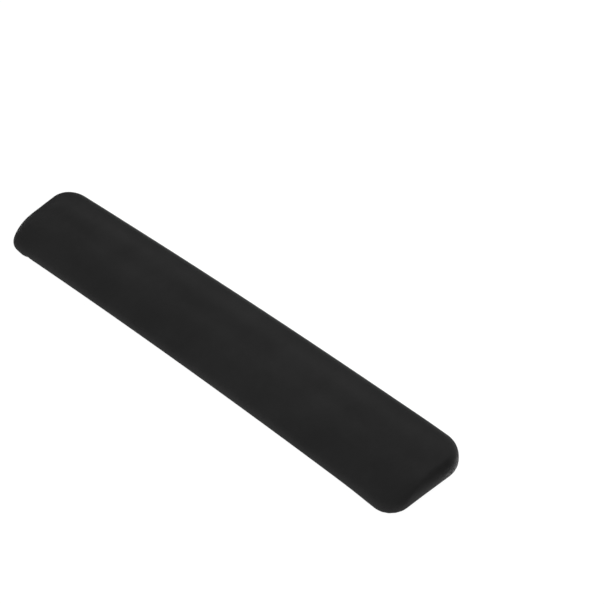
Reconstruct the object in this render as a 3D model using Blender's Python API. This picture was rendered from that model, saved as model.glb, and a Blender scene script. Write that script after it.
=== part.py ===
"""Keyboard wrist rest: a laminated soft pad with no moving parts.

A moulded memory foam cushion wears a stretch-knit cover, bonded to it by a hot-melt film. The cover's margin
turns under the rim, where a ring of double-sided tape holds it in a shallow rebate of the foam. A sheet of
adhesive holds a thin non-slip rubber base over the foam's middle and the cover's margin.

Metres, +Z up. +X runs along the rest and +Y points from the user towards the keyboard. The origin is the
centre of the rest's box, on the desk. The rest bows slightly: its middle stands off towards the keyboard.
Its ends slant, so it is a little longer on the keyboard's side.
"""

import math

import bmesh
import bpy
from mathutils import Vector

MM = 0.001

# Outside of the cover, before it bows and its ends slant. The slant is how much further out each end
# reaches on the keyboard's side than on the user's side.
LENGTH = 434 * MM
WIDTH = 79.3 * MM
HEIGHT = 21 * MM
CROWN_RISE = 1 * MM
BOW = 3 * MM
END_SLANT = 6 * MM
NEAR_CORNER_RADIUS = 15.5 * MM
FAR_CORNER_RADIUS = 23.5 * MM

# Shoulders: how far in from the widest outline the top becomes flat, on each side.
NEAR_SHOULDER = 37 * MM
FAR_SHOULDER = 10 * MM
END_SHOULDER = 5 * MM
SHOULDER_CORNER_SHRINK = 0.45

# Rim: the rounded turn from the widest outline down to the flat underside of the cover.
WIDEST_LEVEL = 7 * MM
RIM_INSET = 4.5 * MM
MARGIN_WIDTH = 11 * MM

# Crown: how far its last ring has closed in towards the middle line, as a share.
CROWN_CLOSE = 0.9

# Layers. Bonded layers stand a hair apart, so that each piece is a solid of its own.
GAP = 0.3 * MM
COVER_THICKNESS = 0.9 * MM
FILM_THICKNESS = 0.25 * MM
BASE_THICKNESS = 1.3 * MM
BASE_INSET = 6 * MM
BASE_EDGE_ROUND = 0.4 * MM
ADHESIVE_INSET = 8 * MM
TAPE_CLEARANCE = 1 * MM
SMALLEST_CORNER_RADIUS = 5 * MM

ADHESIVE_LEVEL = BASE_THICKNESS + GAP
MARGIN_LEVEL = ADHESIVE_LEVEL + FILM_THICKNESS + GAP
FILM_DEPTH = COVER_THICKNESS + GAP
FOAM_DEPTH = FILM_DEPTH + FILM_THICKNESS + GAP
HEM_INSET = RIM_INSET + MARGIN_WIDTH
BOW_RADIUS = LENGTH**2 / (8 * BOW)

# Points round one outline: half of them on the keyboard's side, and as many on the user's side.
END_POINTS = 2
CORNER_STEPS = 6
SIDE_STEPS = 12
RIM_STEPS = 3
SHOULDER_STEPS = 6
CROWN_STEPS = 2

SHARP_EDGE = math.radians(40)


# Outlines


def half_outline(half_length, middle, side, radius):
    """Points of half an outline as (x, y), from the right end's middle round to the left end's middle."""
    towards = math.copysign(1, side - middle)
    centre_x, centre_y = half_length - radius, side - towards * radius
    right = []
    for i in range(END_POINTS):
        right.append((half_length, middle + (centre_y - middle) * (i + 0.5) / END_POINTS))
    for i in range(CORNER_STEPS + 1):
        turn = math.pi / 2 * i / CORNER_STEPS
        right.append((centre_x + radius * math.cos(turn), centre_y + towards * radius * math.sin(turn)))
    along = [(centre_x * (1 - 2 * i / SIDE_STEPS), side) for i in range(1, SIDE_STEPS)]
    left = [(-x, y) for x, y in reversed(right)]
    return right + along + left


def shaped(x, y, z):
    """Where a point of a straight, square-ended rest lies once the ends slant and the rest bows."""
    slanted = x * (1 + END_SLANT * y / (WIDTH * LENGTH / 2))
    angle = slanted / BOW_RADIUS
    reach = BOW_RADIUS + y
    return Vector((reach * math.sin(angle), reach * math.cos(angle) - BOW_RADIUS, z))


def outline(near, far, ends, near_radius, far_radius, level):
    """One closed ring of points, at these distances in from the widest outline's sides."""
    half_length = LENGTH / 2 - ends
    near_side = near - WIDTH / 2
    far_side = WIDTH / 2 - far
    middle = (near_side + far_side) / 2
    far_half = half_outline(half_length, middle, far_side, far_radius)
    near_half = half_outline(half_length, middle, near_side, near_radius)
    return [shaped(x, y, level) for x, y in far_half + near_half[::-1]]


def even_outline(inset, level):
    """A ring the same distance in from the widest outline all the way round."""
    near_radius = max(NEAR_CORNER_RADIUS - inset, SMALLEST_CORNER_RADIUS)
    far_radius = max(FAR_CORNER_RADIUS - inset, SMALLEST_CORNER_RADIUS)
    return outline(inset, inset, inset, near_radius, far_radius, level)


def rim_outlines():
    """Rings of the rounded rim, from the flat underside up to the widest outline."""
    rings = []
    for i in range(RIM_STEPS + 1):
        turn = math.pi / 2 * i / RIM_STEPS
        rise = (WIDEST_LEVEL - MARGIN_LEVEL) * (1 - math.cos(turn))
        rings.append(even_outline(RIM_INSET * (1 - math.sin(turn)), MARGIN_LEVEL + rise))
    return rings


def shoulder_outline(share, level, closing=0):
    """A ring of the top, this share of the way over the shoulders and then this far closed in."""
    extra = closing * (WIDTH - NEAR_SHOULDER - FAR_SHOULDER) / 2
    shrink = (1 - SHOULDER_CORNER_SHRINK * share) * (1 - closing)
    return outline(
        NEAR_SHOULDER * share + extra,
        FAR_SHOULDER * share + extra,
        END_SHOULDER * share + extra,
        NEAR_CORNER_RADIUS * shrink,
        FAR_CORNER_RADIUS * shrink,
        level,
    )


def shoulder_outlines():
    """Rings from just above the widest outline up to the edge of the crown."""
    rise = HEIGHT - CROWN_RISE - WIDEST_LEVEL
    rings = []
    for i in range(1, SHOULDER_STEPS + 1):
        turn = math.pi / 2 * i / SHOULDER_STEPS
        rings.append(shoulder_outline(1 - math.cos(turn), WIDEST_LEVEL + rise * math.sin(turn)))
    return rings


def crown_outlines():
    """Rings of the slightly domed top, closing in towards its middle line."""
    rings = []
    for i in range(1, CROWN_STEPS + 1):
        closing = CROWN_CLOSE * i / CROWN_STEPS
        rise = CROWN_RISE * (1 - (1 - closing) ** 2) / (1 - (1 - CROWN_CLOSE) ** 2)
        rings.append(shoulder_outline(1, HEIGHT - CROWN_RISE + rise, closing))
    return rings


# Solids


def close_across(mesh, ring):
    """Closes a level ring of vertices: one face at each end, and quads between partners across it."""
    last = len(ring) - 1
    half = len(ring) // 2
    reach = END_POINTS + 1
    mesh.faces.new(ring[last - reach :] + ring[: reach + 1])
    mesh.faces.new(ring[half - 1 - reach : half + reach + 1])
    for i in range(reach, half - 1 - reach):
        mesh.faces.new((ring[i], ring[i + 1], ring[last - i - 1], ring[last - i]))


def loft(mesh, rings):
    """Adds the rings' vertices and the walls between rings. Returns the vertices, ring by ring."""
    rows = [[mesh.verts.new(point) for point in ring] for ring in rings]
    for lower, upper in zip(rows, rows[1:]):
        for i in range(len(lower)):
            mesh.faces.new((lower[i - 1], lower[i], upper[i], upper[i - 1]))
    return rows


def closed_solid(rings):
    """The solid between the first ring and the last one, both closed across."""
    mesh = bmesh.new()
    rows = loft(mesh, rings)
    close_across(mesh, rows[0])
    close_across(mesh, rows[-1])
    return mesh


def ring_solid(rings):
    """The solid whose section is the closed loop of these rings."""
    mesh = bmesh.new()
    rows = loft(mesh, rings)
    for i in range(len(rows[0])):
        mesh.faces.new((rows[-1][i - 1], rows[-1][i], rows[0][i], rows[0][i - 1]))
    return mesh


def shell_solid(outer_rings, inner_rings):
    """The cup-shaped solid between two skins that run from the open rim to the closed crown."""
    mesh = bmesh.new()
    outer = loft(mesh, outer_rings)
    inner = loft(mesh, inner_rings)
    close_across(mesh, outer[-1])
    close_across(mesh, inner[-1])
    for i in range(len(outer[0])):
        mesh.faces.new((outer[0][i - 1], outer[0][i], inner[0][i], inner[0][i - 1]))
    return mesh


class Skin:
    """The cover's outside, from its margin's inner edge to the crown, and the skins at any depth below it."""

    def __init__(self):
        self.rings = [even_outline(HEM_INSET, MARGIN_LEVEL)] + rim_outlines()
        self.rings += shoulder_outlines() + crown_outlines()
        self.widest = RIM_STEPS + 1
        solid = closed_solid(self.rings)
        bmesh.ops.recalc_face_normals(solid, faces=solid.faces)
        solid.normal_update()
        solid.verts.ensure_lookup_table()
        around = len(self.rings[0])
        self.normals = []
        for row in range(len(self.rings)):
            self.normals.append([solid.verts[row * around + i].normal.copy() for i in range(around)])
        solid.free()

    def at_depth(self, depth, first=0):
        """The rings this far below the cover's outside, from the given ring up to the crown."""
        moved = []
        for ring, normals in list(zip(self.rings, self.normals))[first:]:
            moved.append([point - normal * depth for point, normal in zip(ring, normals)])
        return moved


# Sub-parts


def box_centre_offset(rings):
    """How far the middle of the rings' box lies from the straight rest's middle, in plan."""
    points = [point for ring in rings for point in ring]
    middle = (min(point.y for point in points) + max(point.y for point in points)) / 2
    return Vector((0, middle, 0))


def plain_material(name, colour, roughness):
    """A Principled material that isn't metal."""
    material = bpy.data.materials.new(name)
    material.use_nodes = True
    shader = material.node_tree.nodes["Principled BSDF"]
    shader.inputs["Base Color"].default_value = (*colour, 1)
    shader.inputs["Roughness"].default_value = roughness
    shader.inputs["Metallic"].default_value = 0
    material.diffuse_color = (*colour, 1)
    return material


def add_part(name, solid, offset, material):
    """Turns a bmesh into a smooth-shaded object, centred over the origin."""
    bmesh.ops.recalc_face_normals(solid, faces=solid.faces)
    bmesh.ops.translate(solid, vec=-offset, verts=solid.verts)
    mesh = bpy.data.meshes.new(name)
    solid.to_mesh(mesh)
    solid.free()
    mesh.materials.append(material)
    mesh.shade_smooth()
    mesh.set_sharp_from_angle(angle=SHARP_EDGE)
    part = bpy.data.objects.new(name, mesh)
    bpy.context.scene.collection.objects.link(part)
    return part


def cover(skin):
    """Stretch knit over the top and walls, turned under the rim to its margin's raw edge."""
    return shell_solid(skin.at_depth(0), skin.at_depth(COVER_THICKNESS))


def cover_bond_film(skin):
    """Hot-melt film between the cover and the foam, over the top and down to the widest outline."""
    outer = skin.at_depth(FILM_DEPTH, skin.widest)
    inner = skin.at_depth(FILM_DEPTH + FILM_THICKNESS, skin.widest)
    return shell_solid(outer, inner)


def memory_foam_cushion(skin):
    """Moulded foam, with a rebate under its rim for the cover's margin and a pad inside the rebate."""
    pad_inset = HEM_INSET + GAP
    pad = even_outline(pad_inset, MARGIN_LEVEL)
    rebate = even_outline(pad_inset, MARGIN_LEVEL + FOAM_DEPTH)
    return closed_solid([pad, rebate] + skin.at_depth(FOAM_DEPTH, 1))


def margin_tape():
    """Double-sided tape between the cover's margin and the foam's rebate."""
    outer_inset = RIM_INSET + TAPE_CLEARANCE
    inner_inset = HEM_INSET - TAPE_CLEARANCE
    low = MARGIN_LEVEL + FILM_DEPTH
    high = low + FILM_THICKNESS
    return ring_solid(
        [
            even_outline(inner_inset, low),
            even_outline(outer_inset, low),
            even_outline(outer_inset, high),
            even_outline(inner_inset, high),
        ]
    )


def base_adhesive_sheet():
    """Adhesive over the foam's pad and the cover's margin."""
    low = even_outline(ADHESIVE_INSET, ADHESIVE_LEVEL)
    high = even_outline(ADHESIVE_INSET, ADHESIVE_LEVEL + FILM_THICKNESS)
    return closed_solid([low, high])


def non_slip_base():
    """Rubber sheet with its edges broken, flat on the desk."""
    return closed_solid(
        [
            even_outline(BASE_INSET + BASE_EDGE_ROUND, 0),
            even_outline(BASE_INSET, BASE_EDGE_ROUND),
            even_outline(BASE_INSET, BASE_THICKNESS - BASE_EDGE_ROUND),
            even_outline(BASE_INSET + BASE_EDGE_ROUND, BASE_THICKNESS),
        ]
    )


def clear_scene():
    for thing in list(bpy.data.objects):
        bpy.data.objects.remove(thing)


def build():
    clear_scene()
    skin = Skin()
    offset = box_centre_offset(skin.rings)
    knit = plain_material("black_knit", (0.020, 0.020, 0.021), 0.9)
    film = plain_material("hot_melt_film", (0.75, 0.74, 0.70), 0.35)
    foam = plain_material("memory_foam", (0.62, 0.58, 0.46), 0.85)
    tape = plain_material("double_sided_tape", (0.80, 0.78, 0.72), 0.45)
    adhesive = plain_material("adhesive_sheet", (0.70, 0.66, 0.55), 0.4)
    rubber = plain_material("black_rubber", (0.025, 0.025, 0.026), 0.75)
    add_part("cover", cover(skin), offset, knit)
    add_part("cover_bond_film", cover_bond_film(skin), offset, film)
    add_part("memory_foam_cushion", memory_foam_cushion(skin), offset, foam)
    add_part("margin_tape", margin_tape(), offset, tape)
    add_part("base_adhesive_sheet", base_adhesive_sheet(), offset, adhesive)
    add_part("non_slip_base", non_slip_base(), offset, rubber)


build()
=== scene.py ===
"""Looks of the keyboard wrist rest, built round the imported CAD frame. Metres, in the CAD's frame."""

import math

import bpy
import numpy as np
from mathutils import Matrix, Vector, kdtree, noise


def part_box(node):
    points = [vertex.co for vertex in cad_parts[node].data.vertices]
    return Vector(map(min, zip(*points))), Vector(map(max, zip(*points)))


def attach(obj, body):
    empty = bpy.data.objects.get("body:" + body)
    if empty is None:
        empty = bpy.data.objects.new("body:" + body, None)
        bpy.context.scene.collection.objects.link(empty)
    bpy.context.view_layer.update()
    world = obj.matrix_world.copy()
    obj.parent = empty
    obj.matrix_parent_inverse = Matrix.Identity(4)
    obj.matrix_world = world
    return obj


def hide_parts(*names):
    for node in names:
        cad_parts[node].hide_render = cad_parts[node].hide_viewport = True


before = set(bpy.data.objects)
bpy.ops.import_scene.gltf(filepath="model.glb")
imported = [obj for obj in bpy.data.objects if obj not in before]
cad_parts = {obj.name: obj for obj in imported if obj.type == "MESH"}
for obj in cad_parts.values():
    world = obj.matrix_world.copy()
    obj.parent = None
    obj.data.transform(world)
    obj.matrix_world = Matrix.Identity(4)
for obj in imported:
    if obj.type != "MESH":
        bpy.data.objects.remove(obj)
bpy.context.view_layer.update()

MM = 0.001

# The cover's outside as the CAD has it, before it bows and its ends slant.
LENGTH = 434 * MM
WIDTH = 79.3 * MM
CROWN_RISE = 1 * MM
BOW = 3 * MM
END_SLANT = 6 * MM
NEAR_CORNER_RADIUS = 15.5 * MM
FAR_CORNER_RADIUS = 23.5 * MM
NEAR_SHOULDER = 37 * MM
FAR_SHOULDER = 10 * MM
END_SHOULDER = 5 * MM
SHOULDER_CORNER_SHRINK = 0.45
WIDEST_LEVEL = 7 * MM
RIM_INSET = 4.5 * MM
MARGIN_WIDTH = 11 * MM
COVER_THICKNESS = 0.9 * MM
CROWN_CLOSE = 0.97
SMALLEST_CORNER_RADIUS = 5 * MM
HEM_INSET = RIM_INSET + MARGIN_WIDTH
BOW_RADIUS = LENGTH**2 / (8 * BOW)

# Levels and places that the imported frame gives.
COVER_LOW, COVER_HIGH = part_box("cover")
BASE_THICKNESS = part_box("non_slip_base")[1].z
MARGIN_LEVEL = COVER_LOW.z
HEIGHT = COVER_HIGH.z
BOX_OFFSET = COVER_HIGH.y - WIDTH / 2

# Inside the cover: how far below its outside the foam lies, and the gap round the foam's pad.
FOAM_DEPTH = 1.75 * MM
PAD_GAP = 0.3 * MM

# Rubber base: its edge, whose lower round passes a point this share of it in and up, and the wavy ribs
# moulded into its underside. Inside a plain border, the grooves between the ribs fade in.
BASE_INSET = 6 * MM
BASE_EDGE_ROUND = 0.4 * MM
ROUND_MIDDLE = 0.3
PLAIN_BORDER = 1 * MM
RIB_FADE = 2 * MM
RIB_PITCH = 2.8 * MM
RIB_WAVE = 0.9 * MM
RIB_WAVELENGTH = 16 * MM
GROOVE_DEPTH = 0.45 * MM

# Steps over the base's underside. Along it they are even by this share, and otherwise crowd to its ends.
BASE_STEPS_ALONG = 320
BASE_STEPS_ACROSS = 132
EVEN_SHARE = 0.75

# Tucks where the cover turns under its corners, and the deeper one beside the user's left corner. The small
# ones die out this share of the rings on from the cover's raw edge to its widest outline.
TUCK_HEIGHT = 0.18 * MM
TUCK_END = 1.15
TUCKS_PER_CORNER = 5
DEEP_TUCK_PLACE = (-189 * MM, -39.6 * MM)
DEEP_TUCK_WIDTH = 2.2 * MM
DEEP_TUCK_DEPTH = 0.6 * MM

# Where the soft rest is a little fuller or flatter than its drawing: the place on the straight rest, how
# far round it that reaches, and how far out the cover stands there.
UNEVEN_PLACES = [
    ((-212 * MM, 25 * MM, 11 * MM), 18 * MM, 1.2 * MM),
    ((-195 * MM, -39.6 * MM, 4 * MM), 5 * MM, 0.7 * MM),
    ((-216 * MM, -28 * MM, 6 * MM), 11 * MM, -1.1 * MM),
    ((203 * MM, -38 * MM, 4 * MM), 18 * MM, 0.7 * MM),
]

# Points round one outline and rings up the cover.
END_POINTS = 7
CORNER_STEPS = 22
SIDE_STEPS = 130
MARGIN_STEPS = 5
RIM_STEPS = 12
SHOULDER_STEPS = 26
CROWN_STEPS = 12

# The cloth simulation of the cover.
CLOTH_VOXEL = 4 * MM
CLOTH_PRESSURE = 4
CLOTH_FRAMES = 20
CLOTH_QUALITY = 6
SWELL_CAP = 0.5 * MM
SWELL_NEIGHBOURS = 10
SWELL_BLUR = 1.5 * CLOTH_VOXEL

# Foam: the lumps per metre of its skin, how far they sink it, and the angle from which its edges are sharp.
FOAM_LUMPS = 60
FOAM_UNEVENNESS = 0.08 * MM
FOAM_SHARP_EDGE = math.radians(50)

# Knit: its gloss, its mottle, and its stitches in columns (wales) and rows (courses). A stitch's arms rise
# by this many rows over a column's width. The heights of stitches, columns and nap are shares of the relief.
KNIT_COLOUR = (0.0220, 0.0220, 0.0221)
KNIT_ROUGHNESS = 0.95
KNIT_SPECULAR = 0.045
KNIT_SHEEN = 0.4
KNIT_SHEEN_ROUGHNESS = 0.2
KNIT_MOTTLE = 0.1
KNIT_MOTTLE_SCALE = 28
WALE_PITCH = 0.62 * MM
COURSE_PITCH = 0.48 * MM
ARM_RISE = 1.4
STITCH_HEIGHT = 0.35
COLUMN_HEIGHT = 1.0
NAP_HEIGHT = 0.5
NAP_SCALE = 2600
KNIT_RELIEF = 0.05 * MM

# Foam, rubber and films: colours, gloss, the scales of their noises and how far their relief stands out.
FOAM_COLOUR = (0.62, 0.58, 0.46)
FOAM_ROUGHNESS = 0.9
FOAM_CELL_SCALE = 900
FOAM_SKIN_SCALE = 180
FOAM_RELIEF = 0.2 * MM
RUBBER_COLOUR = (0.022, 0.022, 0.023)
RUBBER_ROUGHNESS = 0.7
RUBBER_DUST = 1.6
RUBBER_DUST_SCALE = 45
RUBBER_GRAIN_SCALE = 1500
RUBBER_RELIEF = 0.06 * MM
FILM_BLOTCH = 0.85
FILM_BLOTCH_SCALE = 60
FILM_RELIEF = 0.05 * MM

# The CAD's thin layers: each node's material, colour, roughness and scale of grain.
FILMS = [
    ("cover_bond_film", "melt_film", (0.75, 0.74, 0.70), 0.35, 900),
    ("margin_tape", "tape", (0.80, 0.78, 0.72), 0.45, 400),
    ("base_adhesive_sheet", "adhesive", (0.70, 0.66, 0.55), 0.4, 500),
]

# Camera: where it looks from and at, and its lens on a 36 mm sensor.
CAMERA_AZIMUTH = math.radians(44.3)
CAMERA_ELEVATION = math.radians(43.4)
CAMERA_ROLL = math.radians(-1.36)
CAMERA_DISTANCE = 1.0385
CAMERA_TARGET = Vector((0.0245, 0.0703, 0.010))
CAMERA_LENS = 78.22
SENSOR = 36
CAMERA_REACH = 20

# Light: the world's strength, and each softbox's place, aim, size and power. The strip lies on the floor
# under the right end's rim, where a white table throws light back up.
WORLD_LIGHT = 0.01
SOFTBOXES = [
    ("back", (0.0, 1.1, 0.9), (0, 0, 0), (0.4, 0.4), 6.5),
    ("back_right", (0.5, 1.1, 0.9), (0, 0, 0), (0.4, 0.4), 10.0),
    ("low_back", (0.0, 1.2, 0.35), (0, 0, 0), (0.5, 0.3), 10.2),
    ("front", (0.0, -1.1, 0.4), (0, 0, 0), (0.5, 0.3), 11.0),
    ("right_strip", (221.5 * MM, -3 * MM, 0.4 * MM), (221.5 * MM, -3 * MM, 1), (6 * MM, 70 * MM), 0.006),
]
FLOOR_WHITE = 0.08
FLOOR_ROUGHNESS = 0.9
FLOOR_GLOW = 0.98
FLOOR_LEVEL = -0.2 * MM
FLOOR_REACH = 6


# Outlines, as arrays of (x, y) of the straight rest


def half_outline(half_length, middle, side, radius):
    """Half an outline, from the right end's middle round to the left end's middle."""
    towards = math.copysign(1, side - middle)
    centre_x, centre_y = half_length - radius, side - towards * radius
    share = (np.arange(END_POINTS) + 0.5) / END_POINTS
    flat = np.stack([np.full(END_POINTS, half_length), middle + (centre_y - middle) * share], axis=1)
    turn = np.linspace(0, math.pi / 2, CORNER_STEPS + 1)
    arc = np.stack([centre_x + radius * np.cos(turn), centre_y + towards * radius * np.sin(turn)], axis=1)
    right = np.concatenate([flat, arc])
    along = centre_x * (1 - 2 * np.arange(1, SIDE_STEPS) / SIDE_STEPS)
    long_side = np.stack([along, np.full(SIDE_STEPS - 1, side)], axis=1)
    left = right[::-1] * (-1, 1)
    return np.concatenate([right, long_side, left])


def outline(near, far, ends, near_radius, far_radius):
    """One closed ring, at these distances in from the widest outline's sides."""
    half_length = LENGTH / 2 - ends
    near_side, far_side = near - WIDTH / 2, WIDTH / 2 - far
    middle = (near_side + far_side) / 2
    far_half = half_outline(half_length, middle, far_side, far_radius)
    near_half = half_outline(half_length, middle, near_side, near_radius)
    return np.concatenate([far_half, near_half[::-1]])


def even_outline(inset):
    """A ring the same distance in from the widest outline all the way round."""
    near_radius = max(NEAR_CORNER_RADIUS - inset, SMALLEST_CORNER_RADIUS)
    far_radius = max(FAR_CORNER_RADIUS - inset, SMALLEST_CORNER_RADIUS)
    return outline(inset, inset, inset, near_radius, far_radius)


def shoulder_outline(share, closing=0.0):
    """A ring of the top, this share of the way over the shoulders and then this far closed in."""
    extra = closing * (WIDTH - NEAR_SHOULDER - FAR_SHOULDER) / 2
    shrink = (1 - SHOULDER_CORNER_SHRINK * share) * (1 - closing)
    return outline(
        NEAR_SHOULDER * share + extra,
        FAR_SHOULDER * share + extra,
        END_SHOULDER * share + extra,
        NEAR_CORNER_RADIUS * shrink,
        FAR_CORNER_RADIUS * shrink,
    )


def level_ring(plan, level):
    return np.column_stack([plan, np.full(len(plan), level)])


def margin_rings():
    """The turned-under margin, from its raw edge out to the rim."""
    insets = np.linspace(HEM_INSET, RIM_INSET, MARGIN_STEPS + 1)[:-1]
    return [level_ring(even_outline(inset), MARGIN_LEVEL) for inset in insets]


def rim_rings():
    """The rounded rim, from the flat underside up to the widest outline."""
    turns = np.linspace(0, math.pi / 2, RIM_STEPS + 1)
    rise = (WIDEST_LEVEL - MARGIN_LEVEL) * (1 - np.cos(turns))
    return [
        level_ring(even_outline(RIM_INSET * (1 - math.sin(turn))), MARGIN_LEVEL + up)
        for turn, up in zip(turns, rise)
    ]


def shoulder_rings():
    """The shoulders, from just above the widest outline up to the edge of the crown."""
    turns = np.linspace(0, math.pi / 2, SHOULDER_STEPS + 1)[1:]
    rise = HEIGHT - CROWN_RISE - WIDEST_LEVEL
    return [
        level_ring(shoulder_outline(1 - math.cos(turn)), WIDEST_LEVEL + rise * math.sin(turn))
        for turn in turns
    ]


def crown_rings():
    """The slightly domed top, which leaves the shoulders level and closes in towards its middle line."""
    rings = []
    for closing in np.linspace(0, CROWN_CLOSE, CROWN_STEPS + 1)[1:]:
        rise = CROWN_RISE * closing**2 * (3 - 2 * closing)
        rings.append(level_ring(shoulder_outline(1, closing), HEIGHT - CROWN_RISE + rise))
    return rings


def cover_rings():
    """The cover's outside as an array of (ring, point, xyz), straight and centred on its plan."""
    return np.array(margin_rings() + rim_rings() + shoulder_rings() + crown_rings())


def shaped(points):
    """Where points of a straight, square-ended rest lie in the frame, once its ends slant and it bows."""
    slanted = points[..., 0] * (1 + END_SLANT * points[..., 1] / (WIDTH * LENGTH / 2))
    angle = slanted / BOW_RADIUS
    reach = BOW_RADIUS + points[..., 1]
    x = reach * np.sin(angle)
    y = reach * np.cos(angle) - BOW_RADIUS + BOX_OFFSET
    return np.stack([x, y, points[..., 2]], axis=-1)


# Meshes


def wall_faces(rings, around, first=0):
    """Quads between neighbouring rings of a grid, facing out when the rings run upwards."""
    here = np.arange(around)
    beside = (here + 1) % around
    quad = np.stack([here, beside, beside + around, here + around], axis=1)
    starts = first + np.arange(rings - 1) * around
    return (starts[:, None, None] + quad).reshape(-1, 4).tolist()


def across_faces(around, first=0):
    """Faces that close a level ring: one at each end, and quads between partners across it."""
    last, half, reach = around - 1, around // 2, END_POINTS + 1
    ring = list(range(first, first + around))
    faces = [ring[last - reach :] + ring[: reach + 1], ring[half - 1 - reach : half + reach + 1]]
    for i in range(reach, half - 1 - reach):
        faces.append([ring[i], ring[i + 1], ring[last - i - 1], ring[last - i]])
    return faces


def flipped(faces):
    return [face[::-1] for face in faces]


def grid_normals(points):
    """Outward normals of a (ring, point, xyz) grid, wrapped round its rings."""
    along = np.roll(points, -1, axis=1) - np.roll(points, 1, axis=1)
    up = np.gradient(points, axis=0)
    normals = np.cross(along, up)
    return normals / np.linalg.norm(normals, axis=-1, keepdims=True)


def new_object(name, points, faces):
    mesh = bpy.data.meshes.new(name)
    mesh.from_pydata(points.reshape(-1, 3).tolist(), [], faces)
    mesh.validate()
    mesh.shade_smooth()
    piece = bpy.data.objects.new(name, mesh)
    bpy.context.scene.collection.objects.link(piece)
    return piece


def solid_between(name, points):
    """The closed solid of a grid whose first and last rings are both closed across."""
    rings, around = points.shape[:2]
    faces = wall_faces(rings, around) + flipped(across_faces(around))
    faces += across_faces(around, (rings - 1) * around)
    return new_object(name, points, faces)


def shell(name, outer, inner):
    """The cup-shaped solid between two grids that run from an open rim to a closed crown."""
    rings, around = outer.shape[:2]
    count = rings * around
    top = (rings - 1) * around
    faces = wall_faces(rings, around) + across_faces(around, top)
    faces += flipped(wall_faces(rings, around, count) + across_faces(around, count + top))
    for i in range(around):
        j = (i + 1) % around
        faces.append([i, count + i, count + j, j])
    return new_object(name, np.concatenate([outer.reshape(-1, 3), inner.reshape(-1, 3)]), faces)


# Cloth


def run_cloth(piece):
    """Inflates a closed piece whose underside is pinned, and gives its points before and after."""
    pinned = piece.vertex_groups.new(name="pinned")
    low = [v.index for v in piece.data.vertices if v.co.z < MARGIN_LEVEL + CLOTH_VOXEL]
    pinned.add(low, 1.0, "REPLACE")
    cloth = piece.modifiers.new("cloth", "CLOTH")
    cloth.settings.vertex_group_mass = "pinned"
    cloth.settings.use_pressure = True
    cloth.settings.uniform_pressure_force = CLOTH_PRESSURE
    cloth.settings.effector_weights.gravity = 0
    cloth.settings.quality = CLOTH_QUALITY
    cloth.point_cache.frame_start = 1
    cloth.point_cache.frame_end = CLOTH_FRAMES
    before = mesh_points(piece.data)
    for number in range(1, CLOTH_FRAMES + 1):
        bpy.context.scene.frame_set(number)
    evaluated = piece.evaluated_get(bpy.context.evaluated_depsgraph_get())
    after = mesh_points(evaluated.data)
    bpy.context.scene.frame_set(1)
    return before, after


def mesh_points(mesh):
    points = np.empty(len(mesh.vertices) * 3, np.float32)
    mesh.vertices.foreach_get("co", points)
    return points.reshape(-1, 3).astype(float)


def remeshed(piece, voxel):
    """Replaces a piece's mesh by an even voxel remesh of it."""
    remesh = piece.modifiers.new("remesh", "REMESH")
    remesh.mode = "VOXEL"
    remesh.voxel_size = voxel
    evaluated = piece.evaluated_get(bpy.context.evaluated_depsgraph_get())
    mesh = bpy.data.meshes.new_from_object(evaluated)
    piece.modifiers.clear()
    piece.data = mesh
    return piece


def swelling(points):
    """How far simulated cloth over this shape swells at each of its points, from 0 to 1."""
    piece = remeshed(solid_between("cloth_form", points[MARGIN_STEPS:]), CLOTH_VOXEL)
    before, after = run_cloth(piece)
    moved = np.linalg.norm(after - before, axis=1)
    bpy.data.objects.remove(piece)
    tree = kdtree.KDTree(len(before))
    for i, point in enumerate(before):
        tree.insert(point, i)
    tree.balance()
    found = []
    for point in points.reshape(-1, 3):
        near = tree.find_n(point, SWELL_NEIGHBOURS)
        weight = np.exp(-((np.array([far for _, _, far in near]) / SWELL_BLUR) ** 2))
        found.append((moved[[i for _, i, _ in near]] * weight).sum() / weight.sum())
    swell = np.array(found).reshape(points.shape[:2])
    return swell / swell.max()


# Materials


def new_material(name, colour, roughness):
    """A Principled material, its shader and its node tree."""
    material = bpy.data.materials.new(name)
    material.use_nodes = True
    material.diffuse_color = (*colour, 1)
    tree = material.node_tree
    shader = tree.nodes["Principled BSDF"]
    shader.inputs["Base Color"].default_value = (*colour, 1)
    shader.inputs["Roughness"].default_value = roughness
    return material, shader, tree


def add_node(tree, kind, **settings):
    node = tree.nodes.new("ShaderNode" + kind)
    for name, value in settings.items():
        setattr(node, name, value)
    return node


def math_node(tree, operation, first, second=None):
    """A math node on sockets or numbers. Returns its output."""
    node = add_node(tree, "Math", operation=operation)
    for socket, value in zip(node.inputs, (first, second)):
        if value is None:
            continue
        if isinstance(value, (int, float)):
            socket.default_value = value
        else:
            tree.links.new(value, socket)
    return node.outputs[0]


def noise_node(tree, scale, detail, place):
    node = add_node(tree, "TexNoise")
    node.inputs["Scale"].default_value = scale
    node.inputs["Detail"].default_value = detail
    tree.links.new(place, node.inputs["Vector"])
    return node.outputs["Fac"]


def ramp(tree, value, stops):
    """A colour ramp over a value. Stops are (position, colour)."""
    node = add_node(tree, "ValToRGB")
    for element, (position, colour) in zip(node.color_ramp.elements, (stops[0], stops[-1])):
        element.position = position
        element.color = (*colour, 1)
    for position, colour in stops[1:-1]:
        element = node.color_ramp.elements.new(position)
        element.color = (*colour, 1)
    tree.links.new(value, node.inputs["Fac"])
    return node.outputs["Color"]


def bump(tree, shader, height, distance):
    """Gives the shader a relief: a height of 1 stands this far out."""
    node = add_node(tree, "Bump")
    node.inputs["Strength"].default_value = 1
    node.inputs["Distance"].default_value = distance
    tree.links.new(height, node.inputs["Height"])
    tree.links.new(node.outputs["Normal"], shader.inputs["Normal"])


def scaled(colour, factor):
    return tuple(channel * factor for channel in colour)


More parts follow.
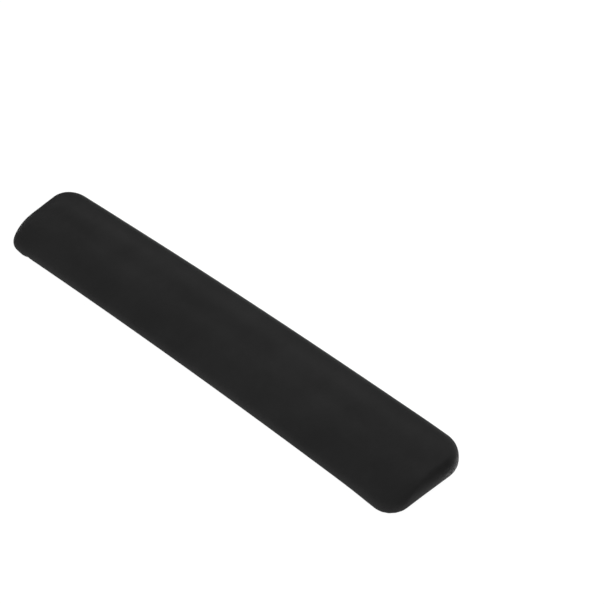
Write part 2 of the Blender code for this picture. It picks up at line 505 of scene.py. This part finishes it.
def object_place(tree):
    """The place on the piece in metres, which its noises follow."""
    return add_node(tree, "TexCoord").outputs["Object"]


def knit_height(tree):
    """Height of a jersey knit: columns of V stitches, from the cloth's own flat coordinates in metres."""
    flat = add_node(tree, "UVMap", uv_map="knit")
    split = add_node(tree, "SeparateXYZ")
    tree.links.new(flat.outputs["UV"], split.inputs["Vector"])
    across = math_node(tree, "MULTIPLY", split.outputs["X"], 1 / WALE_PITCH)
    along = math_node(tree, "MULTIPLY", split.outputs["Y"], 1 / COURSE_PITCH)
    in_column = math_node(tree, "SUBTRACT", math_node(tree, "FRACT", across), 0.5)
    from_middle = math_node(tree, "ABSOLUTE", in_column)
    arm = math_node(tree, "MULTIPLY", from_middle, ARM_RISE)
    phase = math_node(tree, "MULTIPLY", math_node(tree, "ADD", along, arm), 2 * math.pi)
    loops = math_node(tree, "MULTIPLY", math_node(tree, "SINE", phase), STITCH_HEIGHT)
    squared = math_node(tree, "MULTIPLY", from_middle, from_middle)
    column = math_node(tree, "MULTIPLY", squared, -4 * COLUMN_HEIGHT)
    return math_node(tree, "ADD", loops, column)


def knit_material():
    """Matte black jersey knit with a short nap, faintly mottled."""
    material, shader, tree = new_material("knit", KNIT_COLOUR, KNIT_ROUGHNESS)
    place = object_place(tree)
    clouds = noise_node(tree, KNIT_MOTTLE_SCALE, 3, place)
    dark, light = scaled(KNIT_COLOUR, 1 - KNIT_MOTTLE), scaled(KNIT_COLOUR, 1 + KNIT_MOTTLE)
    colour = ramp(tree, clouds, [(0.3, dark), (0.5, KNIT_COLOUR), (0.7, light)])
    tree.links.new(colour, shader.inputs["Base Color"])
    shader.inputs["Specular IOR Level"].default_value = KNIT_SPECULAR
    shader.inputs["Sheen Weight"].default_value = KNIT_SHEEN
    shader.inputs["Sheen Roughness"].default_value = KNIT_SHEEN_ROUGHNESS
    nap = math_node(tree, "MULTIPLY", noise_node(tree, NAP_SCALE, 1, place), NAP_HEIGHT)
    bump(tree, shader, math_node(tree, "ADD", knit_height(tree), nap), KNIT_RELIEF)
    return material


def foam_material():
    """Cream slow-rebound foam with a fine closed skin and scattered pores, whose pits are darkened with
    painted shade.
    """
    material, shader, tree = new_material("memory_foam", FOAM_COLOUR, FOAM_ROUGHNESS)
    place = object_place(tree)
    cells = add_node(tree, "TexVoronoi")
    cells.inputs["Scale"].default_value = FOAM_CELL_SCALE
    tree.links.new(place, cells.inputs["Vector"])
    from_centre = cells.outputs["Distance"]
    # Painted shade: the colour darkens towards each pore's middle, where the bump sinks it deepest.
    stops = [(0.0, scaled(FOAM_COLOUR, 0.55)), (0.25, scaled(FOAM_COLOUR, 0.9)), (1.0, FOAM_COLOUR)]
    tree.links.new(ramp(tree, from_centre, stops), shader.inputs["Base Color"])
    height = math_node(tree, "ADD", from_centre, noise_node(tree, FOAM_SKIN_SCALE, 3, place))
    bump(tree, shader, height, FOAM_RELIEF)
    return material


def film_material(name, colour, roughness, grain):
    """A thin bonding film: faint blotches over a fine grain."""
    material, shader, tree = new_material(name, colour, roughness)
    place = object_place(tree)
    blotches = noise_node(tree, FILM_BLOTCH_SCALE, 4, place)
    stops = [(0.3, scaled(colour, FILM_BLOTCH)), (0.7, colour)]
    tree.links.new(ramp(tree, blotches, stops), shader.inputs["Base Color"])
    bump(tree, shader, noise_node(tree, grain, 2, place), FILM_RELIEF)
    return material


def rubber_material():
    """Black rubber with a fine moulded grain, greyer where it has picked up dust."""
    material, shader, tree = new_material("base_rubber", RUBBER_COLOUR, RUBBER_ROUGHNESS)
    place = object_place(tree)
    dust = noise_node(tree, RUBBER_DUST_SCALE, 5, place)
    stops = [(0.4, RUBBER_COLOUR), (0.75, scaled(RUBBER_COLOUR, RUBBER_DUST))]
    tree.links.new(ramp(tree, dust, stops), shader.inputs["Base Color"])
    bump(tree, shader, noise_node(tree, RUBBER_GRAIN_SCALE, 2, place), RUBBER_RELIEF)
    return material


def give(piece, material):
    piece.data.materials.clear()
    piece.data.materials.append(material)


# Pieces


def flat_places(points):
    """Where the cover's points lie in the flat knit: as in plan on the top, and by arc length below it."""
    crown_edge = MARGIN_STEPS + RIM_STEPS + SHOULDER_STEPS
    flat = points[..., :2].copy()
    outward = points[MARGIN_STEPS + RIM_STEPS, :, :2] - points[crown_edge, :, :2]
    outward /= np.linalg.norm(outward, axis=-1, keepdims=True)
    steps = np.linalg.norm(np.diff(points[: crown_edge + 1], axis=0), axis=-1)
    run = np.cumsum(steps[::-1], axis=0)[::-1]
    flat[:crown_edge] = flat[crown_edge] + outward * run[..., None]
    return flat


def add_knit_map(piece, flat):
    """Stores the flat places of the outer and inner grid as the UV map that the knit follows."""
    places = np.concatenate([flat.reshape(-1, 2)] * 2)
    index = np.empty(len(piece.data.loops), np.int32)
    piece.data.loops.foreach_get("vertex_index", index)
    layer = piece.data.uv_layers.new(name="knit")
    layer.data.foreach_set("uv", places[index].astype(np.float32).ravel())


def corner_share():
    """How far each point of a ring is into a corner: from 0 on the sides to 1 at mid-corner."""
    arc = np.sin(np.linspace(0, math.pi, CORNER_STEPS + 1))
    right = np.concatenate([np.zeros(END_POINTS), arc])
    half = np.concatenate([right, np.zeros(SIDE_STEPS - 1), right[::-1]])
    return np.concatenate([half, half[::-1]])


def tucks(points):
    """How far out each point of the cover's grid is pushed by the tucks round its turned-under corners."""
    around = points.shape[1]
    turned = np.clip(TUCK_END - np.arange(len(points)) / (MARGIN_STEPS + RIM_STEPS), 0, 1)
    step = math.pi * 2 * TUCKS_PER_CORNER / CORNER_STEPS
    ripple = np.sin(np.arange(around) * step) * corner_share()
    height = TUCK_HEIGHT * turned[:, None] * ripple
    away = np.linalg.norm(points[..., :2] - DEEP_TUCK_PLACE, axis=-1)
    deep = np.exp(-((away / DEEP_TUCK_WIDTH) ** 2)) * (points[..., 2] < WIDEST_LEVEL)
    return height - DEEP_TUCK_DEPTH * deep


def fullness(points):
    """How far out the cover's grid stands where the rest is fuller or flatter than its drawing."""
    out = np.zeros(points.shape[:2])
    for place, reach, height in UNEVEN_PLACES:
        away = np.linalg.norm(points - place, axis=-1)
        out += height * np.exp(-((away / reach) ** 2))
    return out


def make_cover():
    straight = cover_rings()
    swell = swelling(straight)
    out = swell * SWELL_CAP + tucks(straight) + fullness(straight)
    outer = straight + grid_normals(straight) * out[..., None]
    inner = outer - grid_normals(outer) * COVER_THICKNESS
    piece = shell("knit_cover", shaped(outer), shaped(inner))
    flat = flat_places(straight)
    add_knit_map(piece, flat)
    give(piece, knit_material())
    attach(piece, "root")
    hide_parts("cover")


def make_foam():
    """The moulded cushion: its skin is a little uneven, and its rim has a rebate for the cover's margin."""
    straight = cover_rings()[MARGIN_STEPS:]
    skin = straight - grid_normals(straight) * FOAM_DEPTH
    pad_inset = HEM_INSET + PAD_GAP
    pad = level_ring(even_outline(pad_inset), MARGIN_LEVEL)
    rebate = level_ring(even_outline(pad_inset), MARGIN_LEVEL + FOAM_DEPTH)
    lumps = np.array([noise.noise(Vector(point) * FOAM_LUMPS) for point in skin.reshape(-1, 3)])
    sunk = FOAM_UNEVENNESS * (1 + lumps.reshape(skin.shape[:2]))
    rings = np.concatenate([[pad, rebate], skin - grid_normals(skin) * sunk[..., None]])
    piece = solid_between("foam_cushion", shaped(rings))
    piece.data.set_sharp_from_angle(angle=FOAM_SHARP_EDGE)
    give(piece, foam_material())
    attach(piece, "root")
    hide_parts("memory_foam_cushion")


def base_sides(inset):
    """The base's long sides, as x, near y and far y of its steps along, which crowd towards its ends."""
    half_length = LENGTH / 2 - inset
    near_radius, far_radius = NEAR_CORNER_RADIUS - inset, FAR_CORNER_RADIUS - inset
    turn = np.linspace(-math.pi / 2, math.pi / 2, BASE_STEPS_ALONG + 1)
    even = np.linspace(-1, 1, BASE_STEPS_ALONG + 1)
    x = half_length * (EVEN_SHARE * even + (1 - EVEN_SHARE) * np.sin(turn))
    cuts = []
    for radius in (near_radius, far_radius):
        past = np.clip(np.abs(x) - (half_length - radius), 0, radius)
        cuts.append(radius - np.sqrt(np.maximum(radius**2 - past**2, 0)))
    near = inset - WIDTH / 2 + cuts[0]
    far = WIDTH / 2 - inset - cuts[1]
    return x, near, far


def base_grid(inset, level):
    """A level grid over the base's plan, as (along, across, xyz)."""
    x, near, far = base_sides(inset)
    share = np.linspace(0, 1, BASE_STEPS_ACROSS + 1)
    y = near[:, None] + (far - near)[:, None] * share
    return np.stack([np.repeat(x[:, None], len(share), axis=1), y, np.full(y.shape, level)], axis=-1)


def ribbed(grid):
    """Sinks grooves into the underside grid between wavy ribs, and leaves a plain border."""
    x, y = grid[..., 0], grid[..., 1]
    wave = RIB_WAVE * np.sin(2 * math.pi * x / RIB_WAVELENGTH)
    groove = 0.5 - 0.5 * np.cos(2 * math.pi * (y + wave) / RIB_PITCH)
    to_side = np.minimum(y - y[:, :1], y[:, -1:] - y)
    to_end = x.max() - np.abs(x)
    inside = np.clip((np.minimum(to_side, to_end) - PLAIN_BORDER) / RIB_FADE, 0, 1)
    sunk = grid.copy()
    sunk[..., 2] += GROOVE_DEPTH * np.sqrt(groove) * inside
    return sunk


def border_loop(shape):
    """Indices round a grid's border, anticlockwise from its first corner."""
    index = np.arange(shape[0] * shape[1]).reshape(shape)
    return np.concatenate([index[:-1, 0], index[-1, :-1], index[:0:-1, -1], index[0, :0:-1]])


def grid_faces(shape):
    index = np.arange(shape[0] * shape[1]).reshape(shape)
    corners = (index[:-1, :-1], index[1:, :-1], index[1:, 1:], index[:-1, 1:])
    return np.stack(corners, axis=-1).reshape(-1, 4).tolist()


def closing_faces(ring, along, across):
    """Faces that close a grid's level border loop: quads from side to side, and one face at each end."""
    turn_back = along + across
    faces = [ring[along - 1 : turn_back + 2], ring[turn_back + along - 1 :] + ring[:2]]
    for i in range(1, along - 1):
        faces.append([ring[i], ring[i + 1], ring[turn_back + along - i - 1], ring[turn_back + along - i]])
    return faces


def make_base():
    """The rubber sheet, with its edges broken and ribs on its underside."""
    under = ribbed(base_grid(BASE_INSET + BASE_EDGE_ROUND, 0))
    shape = under.shape[:2]
    loop = border_loop(shape)
    edge_sections = [
        (BASE_EDGE_ROUND * ROUND_MIDDLE, BASE_EDGE_ROUND * ROUND_MIDDLE),
        (0, BASE_EDGE_ROUND),
        (0, BASE_THICKNESS - BASE_EDGE_ROUND),
        (BASE_EDGE_ROUND, BASE_THICKNESS),
    ]
    rings = [base_grid(BASE_INSET + back, level).reshape(-1, 3)[loop] for back, level in edge_sections]
    points = np.concatenate([under.reshape(-1, 3)] + rings)
    count, around = shape[0] * shape[1], len(loop)
    edges = [loop] + [count + i * around + np.arange(around) for i in range(len(rings))]
    faces = flipped(grid_faces(shape))
    faces += closing_faces(edges[-1].tolist(), BASE_STEPS_ALONG, BASE_STEPS_ACROSS)
    for low, high in zip(edges, edges[1:]):
        for i in range(around):
            j = (i + 1) % around
            faces.append([int(low[i]), int(low[j]), int(high[j]), int(high[i])])
    piece = new_object("rubber_base", shaped(points), faces)
    give(piece, rubber_material())
    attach(piece, "root")
    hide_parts("non_slip_base")


def finish_films():
    """Gives the CAD's thin bonding layers their real finish."""
    for node, name, colour, roughness, grain in FILMS:
        material = film_material(name, colour, roughness, grain)
        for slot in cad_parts[node].material_slots:
            slot.material = material


# Stage


def make_camera():
    camera = bpy.data.objects.new("camera", bpy.data.cameras.new("camera"))
    bpy.context.scene.collection.objects.link(camera)
    across = math.cos(CAMERA_ELEVATION)
    back = Vector(
        (math.sin(CAMERA_AZIMUTH) * across, -math.cos(CAMERA_AZIMUTH) * across, math.sin(CAMERA_ELEVATION))
    )
    facing = (-back).to_track_quat("-Z", "Y").to_matrix().to_4x4()
    roll = Matrix.Rotation(CAMERA_ROLL, 4, "Z")
    camera.matrix_world = Matrix.Translation(CAMERA_TARGET + back * CAMERA_DISTANCE) @ facing @ roll
    camera.data.lens = CAMERA_LENS
    camera.data.sensor_width = SENSOR
    camera.data.clip_end = CAMERA_REACH
    bpy.context.scene.camera = camera


def make_floor():
    """A plain floor that glows like a product table, so that shadows stay faint. It is clear from below."""
    mesh = bpy.data.meshes.new("floor")
    signs = ((-1, -1), (1, -1), (1, 1), (-1, 1))
    corners = [(x * FLOOR_REACH, y * FLOOR_REACH, FLOOR_LEVEL) for x, y in signs]
    mesh.from_pydata(corners, [], [(0, 1, 2, 3)])
    floor = bpy.data.objects.new("floor", mesh)
    bpy.context.scene.collection.objects.link(floor)
    material, shader, tree = new_material("floor", (FLOOR_WHITE,) * 3, FLOOR_ROUGHNESS)
    shader.inputs["Specular IOR Level"].default_value = 0
    shader.inputs["Emission Color"].default_value = (1, 1, 1, 1)
    shader.inputs["Emission Strength"].default_value = FLOOR_GLOW
    from_below = add_node(tree, "NewGeometry").outputs["Backfacing"]
    mix = add_node(tree, "MixShader")
    tree.links.new(from_below, mix.inputs["Fac"])
    tree.links.new(shader.outputs["BSDF"], mix.inputs[1])
    tree.links.new(add_node(tree, "BsdfTransparent").outputs["BSDF"], mix.inputs[2])
    tree.links.new(mix.outputs["Shader"], tree.nodes["Material Output"].inputs["Surface"])
    give(floor, material)


def add_softbox(name, place, aim, size, power):
    light = bpy.data.lights.new(name, "AREA")
    light.shape = "RECTANGLE"
    light.size, light.size_y = size
    light.energy = power
    lamp = bpy.data.objects.new(name, light)
    bpy.context.scene.collection.objects.link(lamp)
    lamp.location = place
    lamp.rotation_euler = (Vector(aim) - Vector(place)).to_track_quat("-Z", "Y").to_euler()


def light_scene():
    world = bpy.data.worlds.new("studio")
    world.use_nodes = True
    tree = world.node_tree
    background = tree.nodes["Background"]
    background.inputs["Color"].default_value = (1, 1, 1, 1)
    # The camera sees a backdrop as white as the floor, which would be too much as a light.
    seen = add_node(tree, "LightPath").outputs["Is Camera Ray"]
    extra = math_node(tree, "MULTIPLY", seen, FLOOR_GLOW - WORLD_LIGHT)
    tree.links.new(math_node(tree, "ADD", extra, WORLD_LIGHT), background.inputs["Strength"])
    bpy.context.scene.world = world
    for name, place, aim, size, power in SOFTBOXES:
        add_softbox(name, place, aim, size, power)
    bpy.context.scene.view_settings.view_transform = "Standard"


make_camera()
make_floor()
light_scene()
make_foam()
make_cover()
make_base()
finish_films()
